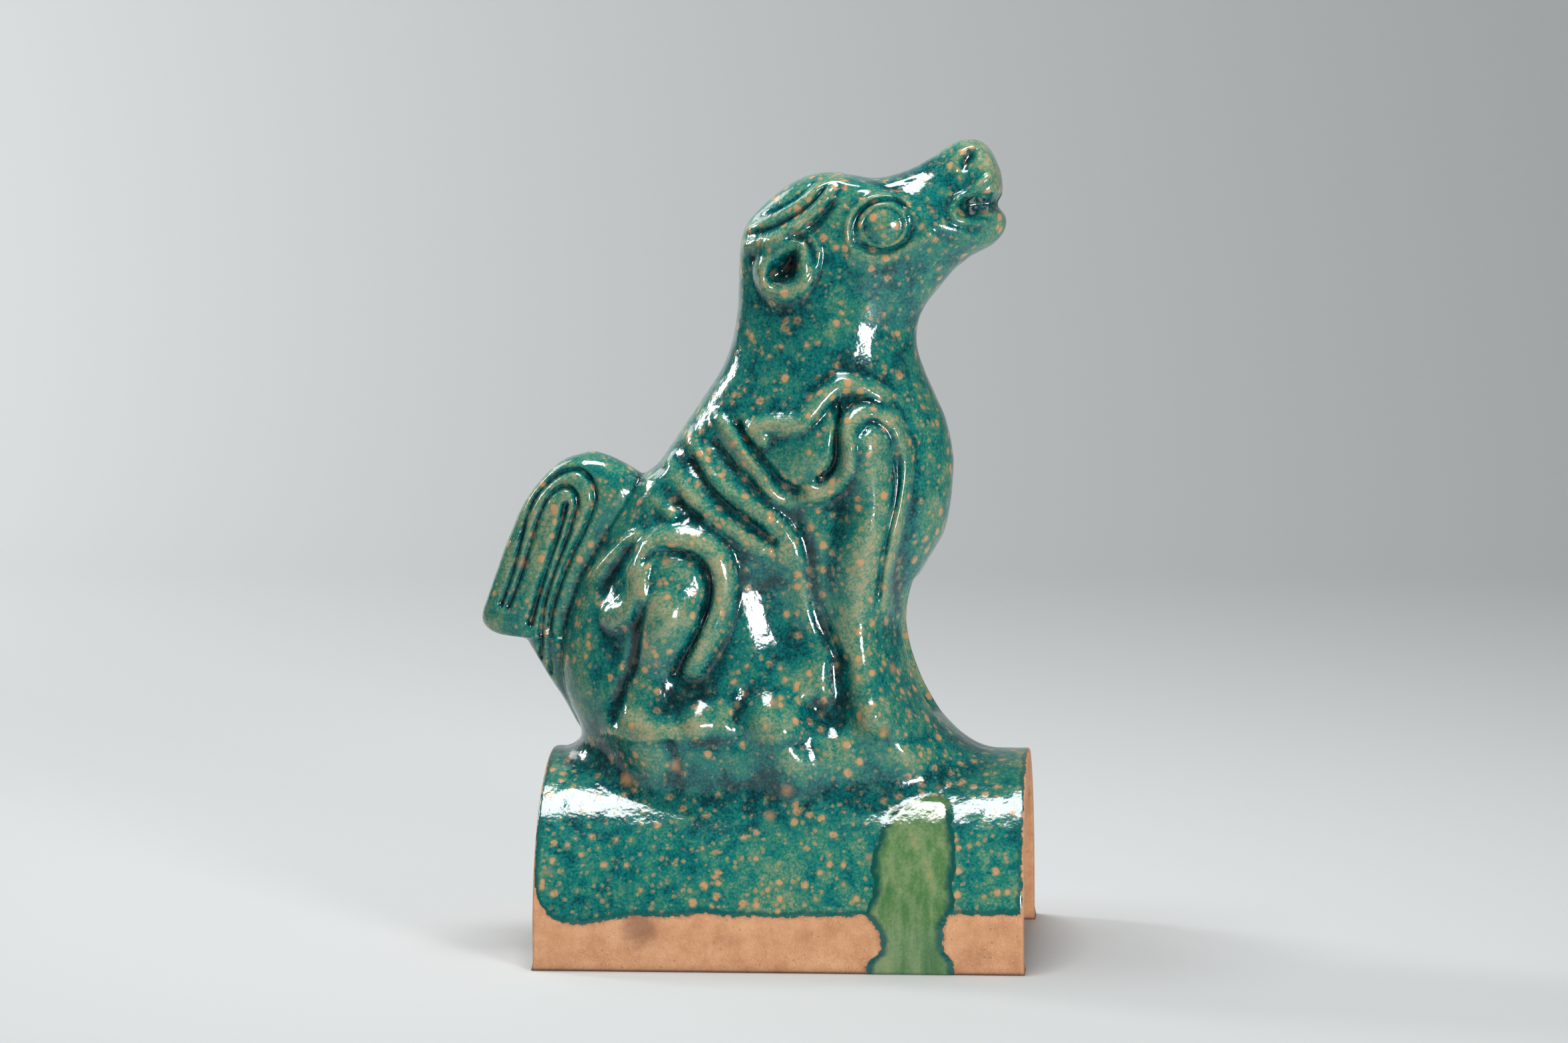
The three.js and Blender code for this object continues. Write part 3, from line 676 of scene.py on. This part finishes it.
def main_mesh(settings):
    """The joined, softened and glazed piece, in millimetres from the tile's middle."""
    outer = plain_object("outer", *body_grid())
    tail = plain_object("tail", *tail_grid())
    mesh = joined_mesh(outer, tail)
    points, edges = mesh_arrays(mesh)
    weight = crease_weight(mesh, points, edges)
    points = averaged(points, edges, 10, weight * 0.6)
    points[:, 0] += HEAD_LEAN * np.clip((points[:, 2] - LEAN_FOOT) / LEAN_RISE, 0, 1)
    set_points(mesh, points)
    glaze(mesh, points, edges, settings)
    return mesh


def store(mesh, name, values):
    """A number for each vertex, which the material reads by its name."""
    layer = mesh.attributes.new(name, "FLOAT", "POINT")
    layer.data.foreach_set("value", values.astype(np.float32))


def glaze(mesh, points, edges, settings):
    """Raises the glaze's ripples and its green run, and stores what the colours follow: how
    far a point stands proud of its surroundings, how far inside the glaze and the run it is."""
    normals = vertex_normals(mesh)
    fine = averaged(points, edges, 14, 1.0)
    broad = averaged(fine, edges, 70, 1.0)
    off_tile = smooth_step(56, 78, points[:, 2])
    proud = np.tanh(((points - fine) * normals).sum(1) / 0.9) * off_tile
    swell = np.tanh(((fine - broad) * normals).sum(1) / 3.0) * off_tile
    worn = smooth_step(-60, 10, points[:, 0]) * smooth_step(66, 40, points[:, 2])
    swell = swell + (worn * 1.3 - 0.2) * (1 - off_tile)
    cover = glaze_cover(points)
    x, y, z = points.T
    run = np.where((y < 0) & (z < 72) & (cover > -12), run_inside(x, z), -12)
    run = np.clip(run, -12, 12)
    glazed = smooth_step(-0.3, 1.2, cover)
    shoulder = np.exp(-((z - 62) / 7) ** 2)
    ripple = noise(points, 7.0, 21) * 0.12 + noise(points, 3.4, 22) * (0.05 + 0.08 * shoulder)
    ripple = ripple * settings.ripple
    rim = np.exp(-((run - 2.0) / 1.6) ** 2) * 0.3
    body_of_run = smooth_step(-0.4, 3.0, run) * settings.run_height / MM
    bead = np.exp(-((cover - 1.0) / 1.1) ** 2) * 0.2 * (z < 50)
    on_tile = smooth_step(90, 70, z) * smooth_step(-0.6, 0.0, normals[:, 2])
    height = glazed * (0.15 * on_tile + ripple + rim + body_of_run + bead) - 0.7 * on_tile
    height = height * smooth_step(0.0, 0.8, z)
    points = points + normals * height[:, None]
    low, high = (np.array(corner) / MM for corner in CAD_BOX)
    shift = np.array([TILE_MIDDLE, 0, 0])
    points = np.clip(points, low - shift, high - shift)
    store(mesh, "proud", proud)
    store(mesh, "swell", swell)
    store(mesh, "cover", cover)
    store(mesh, "run", run)
    set_points(mesh, points)


def linear(code):
    """The linear colour of an sRGB hex code: each channel c becomes c / 12.92 when small,
    otherwise ((c + 0.055) / 1.055) ^ 2.4."""
    channels = [int(code[i:i + 2], 16) / 255 for i in (1, 3, 5)]
    out = [c / 12.92 if c <= 0.04045 else ((c + 0.055) / 1.055) ** 2.4 for c in channels]
    return (*out, 1.0)


def per_mm(size):
    """Texture scale at which one cell is this many millimetres wide."""
    return 1 / (size * MM)


def node(tree, kind, settings=None, **links):
    """Adds a node: settings by attribute name, and links or values by its inputs' names."""
    made = tree.nodes.new(kind)
    for name, value in (settings or {}).items():
        setattr(made, name, value)
    for name, value in links.items():
        key = int(name[1:]) if name[0] == "_" and name[1:].isdigit() else name.replace("_", " ")
        if isinstance(value, bpy.types.NodeSocket):
            tree.links.new(value, made.inputs[key])
        else:
            made.inputs[key].default_value = value
    return made


def ramp(tree, fac, stops):
    """A colour ramp through stops of (place, hex colour)."""
    made = node(tree, "ShaderNodeValToRGB", Fac=fac)
    elements = made.color_ramp.elements
    while len(elements) < len(stops):
        elements.new(0.5)
    for element, (place, code) in zip(elements, stops):
        element.position = place
        element.color = linear(code) if isinstance(code, str) else code
    return made.outputs["Color"]


def glazed_earthenware(settings):
    """Lead-glazed red earthenware, pressed, dipped and fired: a glassy coat, turquoise where
    it has pooled, thin and tan where it ran off the ridges and over the clay's grog, an olive
    run of copper green, and a matt, sandy orange body below the glaze."""
    material = bpy.data.materials.new("lead_glazed_earthenware")
    material.use_nodes = True
    tree = material.node_tree
    tree.nodes.clear()
    place = node(tree, "ShaderNodeTexCoord").outputs["Object"]

    def value(name):
        return node(tree, "ShaderNodeAttribute", {"attribute_name": name}).outputs["Fac"]

    def mottle(size, detail=3.0, roughness=0.55, distortion=0.0, offset=None):
        vector = place
        if offset:
            vector = node(tree, "ShaderNodeVectorMath", {"operation": "ADD"}, _0=place,
                          _1=offset).outputs[0]
        return node(tree, "ShaderNodeTexNoise", Vector=vector, Scale=per_mm(size), Detail=detail,
                    Roughness=roughness, Distortion=distortion).outputs["Fac"]

    def maths(kind, a, b=0.5, c=0.0):
        return node(tree, "ShaderNodeMath", {"operation": kind}, _0=a, _1=b, _2=c).outputs[0]

    def between(fac, low, high, to_low=0.0, to_high=1.0):
        made = node(tree, "ShaderNodeMapRange", {"interpolation_type": "SMOOTHSTEP"}, Value=fac)
        for key, number in zip((1, 2, 3, 4), (low, high, to_low, to_high)):
            made.inputs[key].default_value = number
        return made.outputs["Result"]

    def shade(given):
        return linear(given) if isinstance(given, str) else given

    def mix(fac, a, b):
        made = node(tree, "ShaderNodeMix", {"data_type": "RGBA"})
        for key, given in ((0, fac), (6, a), (7, b)):
            if isinstance(given, bpy.types.NodeSocket):
                tree.links.new(given, made.inputs[key])
            else:
                made.inputs[key].default_value = shade(given)
        return made.outputs[2]

    def spots(size, low, high, offset):
        """Round spots: the distance from scattered points, read as 1 near them."""
        moved = node(tree, "ShaderNodeVectorMath", {"operation": "ADD"}, _0=place,
                     _1=offset).outputs[0]
        wander = node(tree, "ShaderNodeTexNoise", Vector=moved, Scale=per_mm(2.2), Detail=2.0)
        bent = node(tree, "ShaderNodeVectorMath", {"operation": "MULTIPLY_ADD"},
                    _0=wander.outputs["Color"], _1=(0.0016, 0.0016, 0.0016), _2=moved).outputs[0]
        cells = node(tree, "ShaderNodeTexVoronoi", Vector=bent, Scale=per_mm(size),
                     Randomness=1.0)
        chance = node(tree, "ShaderNodeSeparateColor",
                      Color=cells.outputs["Color"]).outputs["Red"]
        reach = between(chance, 0.15, 1.0, low, high)
        near = maths("SUBTRACT", reach, cells.outputs["Distance"])
        return between(near, -0.09, 0.12)

    # How thin the glaze lies: on ridges and swells it has run off.
    broad = mottle(26, 2.0)
    patchy = mottle(7, 4.0, 0.6, 0.3)
    grain = mottle(1.1, 4.0, 0.7)
    proud = value("proud")
    swell = value("swell")
    thin = maths("MULTIPLY_ADD", proud, 0.34, 0.43)
    thin = maths("MULTIPLY_ADD", swell, 0.10, thin)
    thin = maths("ADD", thin, between(broad, 0.3, 0.7, -0.08, 0.08))
    thin = maths("ADD", thin, between(patchy, 0.28, 0.72, -0.17, 0.17))
    thin = maths("ADD", thin, between(grain, 0.32, 0.68, -0.17, 0.17))
    colour = ramp(tree, thin, [(0.0, "#00292d"), (0.20, settings.pooled), (0.40, settings.glaze),
                               (0.56, "#257664"), (0.72, "#5a846a"), (1.0, settings.thin)])

    # Spots where grains of grog stand up through the glaze.
    few = between(thin, 0.10, 0.55, 0.25, 1.0)
    small = maths("MULTIPLY", spots(5.0, 0.06, 0.34, (0.013, 0.002, 0.031)), few)
    tiny = maths("MULTIPLY", spots(2.9, 0.04, 0.36, (0.051, 0.022, 0.003)), few)
    large = spots(21, 0.0, 0.115, (0.0031, 0.0, 0.0172))
    halo = maths("MULTIPLY", spots(5.0, 0.28, 0.54, (0.013, 0.002, 0.031)), few)
    colour = mix(maths("MULTIPLY", halo, 0.40), colour, "#5c8261")
    colour = mix(maths("MULTIPLY", tiny, 0.70), colour, "#a98e5e")
    colour = mix(maths("MULTIPLY", small, 0.92), colour, settings.grog)
    colour = mix(maths("MULTIPLY", large, 0.85), colour, "#bd8c60")

    height = node(tree, "ShaderNodeSeparateXYZ", Vector=place).outputs["Z"]

    # The green run, with the blue glaze pushed up along its rim.
    run = value("run")
    ragged = maths("ADD", run, between(mottle(3.5, 2.0), 0.3, 0.7, -0.5, 0.5))
    streak = node(tree, "ShaderNodeMapping", {"vector_type": "POINT"}, Vector=place,
                  Scale=(1.0, 1.0, 0.16)).outputs["Vector"]
    streaks = node(tree, "ShaderNodeTexNoise", Vector=streak, Scale=per_mm(5.5), Detail=3.0,
                   Roughness=0.6).outputs["Fac"]
    olive = ramp(tree, maths("MULTIPLY_ADD", grain, 0.35, maths("MULTIPLY", streaks, 0.75)),
                 [(0.30, "#285c38"), (0.50, settings.run), (0.62, "#738b60"), (0.78, "#98905f")])
    rim = maths("MULTIPLY", between(ragged, 1.2, 4.4, 1.0, 0.0), between(height, 0.060, 0.066, 1.0, 0.0))
    olive = mix(rim, olive, "#0a4d45")
    colour = mix(between(ragged, -0.3, 0.4), colour, olive)

    # A dark bead where the glaze stops.
    cover = value("cover")
    edge = maths("ADD", cover, between(mottle(2.4, 3.0), 0.3, 0.7, -0.55, 0.55))
    colour = mix(between(edge, 1.4, 2.8, 0.85, 0.0), colour, "#0b5550")

    # Bare clay.
    clay = ramp(tree, mottle(11, 6.0, 0.62), [(0.30, "#c0875f"), (0.50, settings.clay),
                                               (0.68, "#e0ab82")])
    sand = between(mottle(0.9, 2.0, 0.5), 0.62, 0.70)
    clay = mix(maths("MULTIPLY", sand, 0.5), clay, "#e6bd95")
    grit = spots(2.6, 0.0, 0.16, (0.02, 0.01, 0.04))
    clay = mix(maths("MULTIPLY", grit, 0.6), clay, "#7c5137")
    stain = between(mottle(17, 5.0, 0.7), 0.58, 0.78, 0.0, 0.4)
    clay = mix(stain, clay, "#96664a")
    # Darker towards the foot of the tile; the dark brown line right along the foot is a painted contact
    # shadow.
    clay = mix(between(height, 0.0, 0.004, 0.45, 0.0), clay, "#8a5a3f")
    clay = mix(between(height, 0.0002, 0.0014, 0.75, 0.0), clay, "#4a3024")
    crack = between(mottle(9, 6.0, 0.8, 1.2), 0.492, 0.50)
    crack = maths("MULTIPLY", crack, between(mottle(9, 6.0, 0.8, 1.2), 0.50, 0.508, 1.0, 0.0))
    clay = mix(maths("MULTIPLY", crack, between(height, 0.003, 0.020, 0.65, 0.12)), clay, "#5c3c2c")
    press = node(tree, "ShaderNodeVectorMath", {"operation": "DISTANCE"}, _0=place,
                 _1=((TILE_MIDDLE - 54) * MM, -0.0672, 0.018)).outputs["Value"]
    press = maths("MULTIPLY_ADD", mottle(4, 4.0, 0.7), -0.010, press)
    clay = mix(between(press, -0.002, 0.005, 0.6, 0.0), clay, "#7a5240")
    fired = between(edge, -1.3, 0.0, 0.0, 0.5)
    clay = mix(fired, clay, "#9a5a38")
    glassy = between(edge, -0.12, 0.12)
    colour = mix(glassy, clay, colour)
    roughness = maths("MULTIPLY_ADD", glassy, -0.74, 0.86)

    # Orange peel on the glaze, sand on the clay, and pits at the larger spots.
    peel = maths("MULTIPLY", mottle(4.2, 2.0, 0.5), 0.22)
    peel = maths("ADD", peel, maths("MULTIPLY", mottle(1.5, 2.0, 0.5), 0.05))
    peel = maths("ADD", peel, maths("MULTIPLY", small, 0.035))
    sandy = maths("MULTIPLY", mottle(0.8, 4.0, 0.7), 0.5)
    lumps = node(tree, "ShaderNodeMix", {"data_type": "FLOAT"}, _0=glassy, _2=sandy, _3=peel)
    bump = node(tree, "ShaderNodeBump", Height=lumps.outputs[0], Strength=1.0, Distance=MM)
    surface = node(tree, "ShaderNodeBsdfPrincipled", Base_Color=colour, Roughness=roughness,
                   IOR=1.55, Normal=bump.outputs[0])
    node(tree, "ShaderNodeOutputMaterial", Surface=surface.outputs[0])
    return material


def build_figure(settings):
    """Makes the piece and puts it in the frame."""
    mesh = main_mesh(settings)
    points, edges = mesh_arrays(mesh)
    points[:, 0] += TILE_MIDDLE
    set_points(mesh, points * MM)
    mesh.shade_smooth()
    made = bpy.data.objects.new("ridge_beast_figure", mesh)
    bpy.context.scene.collection.objects.link(made)
    mesh.materials.clear()
    mesh.materials.append(glazed_earthenware(settings))
    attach(made, "root")
    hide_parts(NODE)


# ------------------------------------------------------------------ studio

CAMERA = {"azimuth": 5.22, "elevation": 5.43, "roll": -0.42, "distance": 1.8,
          "target_x": -1.86, "target_z": 172.1, "lens": 102.17}

# Name, place, target (metres), size (metres) and power (watts) of each soft light.
LIGHTS = [
    ("overhead", (-0.08, -0.02, 1.3), (-0.08, -0.02, 0.1), (0.5, 0.52), 15),
    ("front_right", (1.05, -1.45, 0.36), (0, 0, 0.2), (0.36, 0.46), 24),
    ("back_left", (-1.3, 1.3, 1.3), (0, 0, 0.15), (0.7, 0.7), 5),
    ("paper_wash", (-2.1, 0.9, 1.3), (-0.2, 2.6, 0.5), (0.8, 0.8), 47),
]


def camera(lens):
    """A long lens a little right of and above the piece's side, rolled by half a degree."""
    azimuth = math.radians(CAMERA["azimuth"])
    elevation = math.radians(CAMERA["elevation"])
    back = Vector((math.sin(azimuth) * math.cos(elevation),
                   -math.cos(azimuth) * math.cos(elevation), math.sin(elevation)))
    target = Vector((CAMERA["target_x"] + TILE_MIDDLE, 0, CAMERA["target_z"])) * MM
    data = bpy.data.cameras.new("camera")
    data.lens = lens
    data.sensor_width = 36
    made = bpy.data.objects.new("camera", data)
    turn = back.to_track_quat("Z", "Y").to_matrix().to_4x4()
    roll = Matrix.Rotation(math.radians(CAMERA["roll"]), 4, "Z")
    made.matrix_world = Matrix.Translation(target + back * CAMERA["distance"]) @ turn @ roll
    bpy.context.scene.collection.objects.link(made)
    bpy.context.scene.camera = made


def soft_light(name, place, target, size, power):
    """A rectangular soft light at a place, facing a target, in metres and watts."""
    data = bpy.data.lights.new(name, "AREA")
    data.shape = "RECTANGLE"
    data.size, data.size_y = size
    data.energy = power
    made = bpy.data.objects.new(name, data)
    turn = (Vector(target) - Vector(place)).to_track_quat("-Z", "Y").to_matrix().to_4x4()
    made.matrix_world = Matrix.Translation(Vector(place)) @ turn
    bpy.context.scene.collection.objects.link(made)


def backdrop(colour):
    """A sheet of grey paper: flat in front, curved up behind the piece.  Its profile is a
    straight line, a quarter circle and a straight line, carried along x."""
    bend, behind, rise, front, half = 1.2, 1.4, 5.0, 7.0, 8.0
    turn = np.linspace(0, math.pi / 2, 33)
    y = np.concatenate([[-front], behind + bend * np.sin(turn), [behind + bend]])
    z = np.concatenate([[0], bend * (1 - np.cos(turn)), [rise]])
    along = np.array([-half, half])
    grid = np.stack(np.broadcast_arrays(along[:, None], y[None], z[None]), -1)
    count = len(y)
    lower = np.arange(count - 1)
    quads = np.stack([lower, lower + count, lower + count + 1, lower + 1], 1)
    sheet = plain_object("backdrop", grid.reshape(-1, 3), quads, np.zeros((0, 3), int))
    sheet.data.shade_smooth()
    material = bpy.data.materials.new("matt_paper")
    material.use_nodes = True
    shader = material.node_tree.nodes["Principled BSDF"]
    shader.inputs["Base Color"].default_value = colour
    shader.inputs["Roughness"].default_value = 0.9
    sheet.data.materials.append(material)


def build_studio(settings):
    """Paper, lights and camera."""
    backdrop(settings.paper)
    world = bpy.data.worlds.new("studio")
    bpy.context.scene.world = world
    world.use_nodes = True
    background = world.node_tree.nodes["Background"]
    background.inputs["Color"].default_value = linear("#ccd4d8")
    background.inputs["Strength"].default_value = 0.18 * settings.light
    for name, place, target, size, power in LIGHTS:
        soft_light(name, place, target, size, power * settings.light)
    bpy.context.scene.view_settings.view_transform = "Standard"
    camera(settings.lens)


# ------------------------------------------------------------------ the add-on


def colour_property(name, code, text):
    return bpy.props.FloatVectorProperty(name=name, description=text, default=linear(code),
                                         subtype="COLOR", size=4, min=0, max=1)


class RidgeBeastSettings(bpy.types.PropertyGroup):
    """What a user may change about the fired piece."""

    ripple: bpy.props.FloatProperty(
        name="Ripple", description="Strength of the glaze's waves", default=1.0, min=0, max=2,
        subtype="FACTOR")
    run_height: bpy.props.FloatProperty(
        name="Run height", description="How far the green run stands out", default=0.4 * MM,
        min=0, max=1 * MM, precision=5, subtype="DISTANCE", unit="LENGTH")
    pooled: colour_property("Pooled glaze", "#00474b", "Turquoise glaze where it lies thick")
    glaze: colour_property("Glaze", "#046a67", "Turquoise glaze at its usual thickness")
    thin: colour_property("Thin glaze", "#9c9a78", "Glaze that has run off the ridges")
    grog: colour_property("Grog", "#c59468", "Grains of clay that show through the glaze")
    run: colour_property("Green run", "#547a4a", "The run of green glaze down the tile")
    clay: colour_property("Clay", "#d59c72", "The bare fired clay")


class RidgeBeastStudioSettings(bpy.types.PropertyGroup):
    """What a user may change about the studio."""

    light: bpy.props.FloatProperty(
        name="Light", description="Strength of all the lights", default=1.0, min=0, max=4,
        subtype="FACTOR")
    lens: bpy.props.FloatProperty(
        name="Lens", description="Focal length of the camera", default=CAMERA["lens"], min=20,
        max=300, unit="CAMERA")
    paper: colour_property("Paper", "#c3c6c6", "The sheet behind and under the piece")


class RIDGEBEAST_OT_figure(bpy.types.Operator):
    """Build the glazed tile with its seated beast"""

    bl_idname = "ridge_beast.figure"
    bl_label = "Add Ridge Beast"

    def execute(self, context):
        build_figure(context.scene.ridge_beast)
        return {"FINISHED"}


class RIDGEBEAST_OT_studio(bpy.types.Operator):
    """Build the paper, the lights and the camera"""

    bl_idname = "ridge_beast.studio"
    bl_label = "Add Studio"

    def execute(self, context):
        build_studio(context.scene.ridge_beast_studio)
        return {"FINISHED"}


class RIDGEBEAST_PT_panel(bpy.types.Panel):
    """Lists the settings and the builders"""

    bl_label = "Ridge Beast"
    bl_idname = "RIDGEBEAST_PT_panel"
    bl_space_type = "VIEW_3D"
    bl_region_type = "UI"
    bl_category = "Ridge Beast"

    def draw(self, context):
        for name, operator in (("ridge_beast", "ridge_beast.figure"),
                               ("ridge_beast_studio", "ridge_beast.studio")):
            settings = getattr(context.scene, name)
            box = self.layout.box()
            for field in settings.__annotations__:
                box.prop(settings, field)
            box.operator(operator)


CLASSES = (RidgeBeastSettings, RidgeBeastStudioSettings, RIDGEBEAST_OT_figure,
           RIDGEBEAST_OT_studio, RIDGEBEAST_PT_panel)


def register():
    for made in CLASSES:
        bpy.utils.register_class(made)
    bpy.types.Scene.ridge_beast = bpy.props.PointerProperty(type=RidgeBeastSettings)
    bpy.types.Scene.ridge_beast_studio = bpy.props.PointerProperty(type=RidgeBeastStudioSettings)


def unregister():
    del bpy.types.Scene.ridge_beast_studio
    del bpy.types.Scene.ridge_beast
    for made in reversed(CLASSES):
        bpy.utils.unregister_class(made)


def main():
    register()
    bpy.ops.ridge_beast.figure()
    bpy.ops.ridge_beast.studio()


if __name__ == "__main__":
    main()
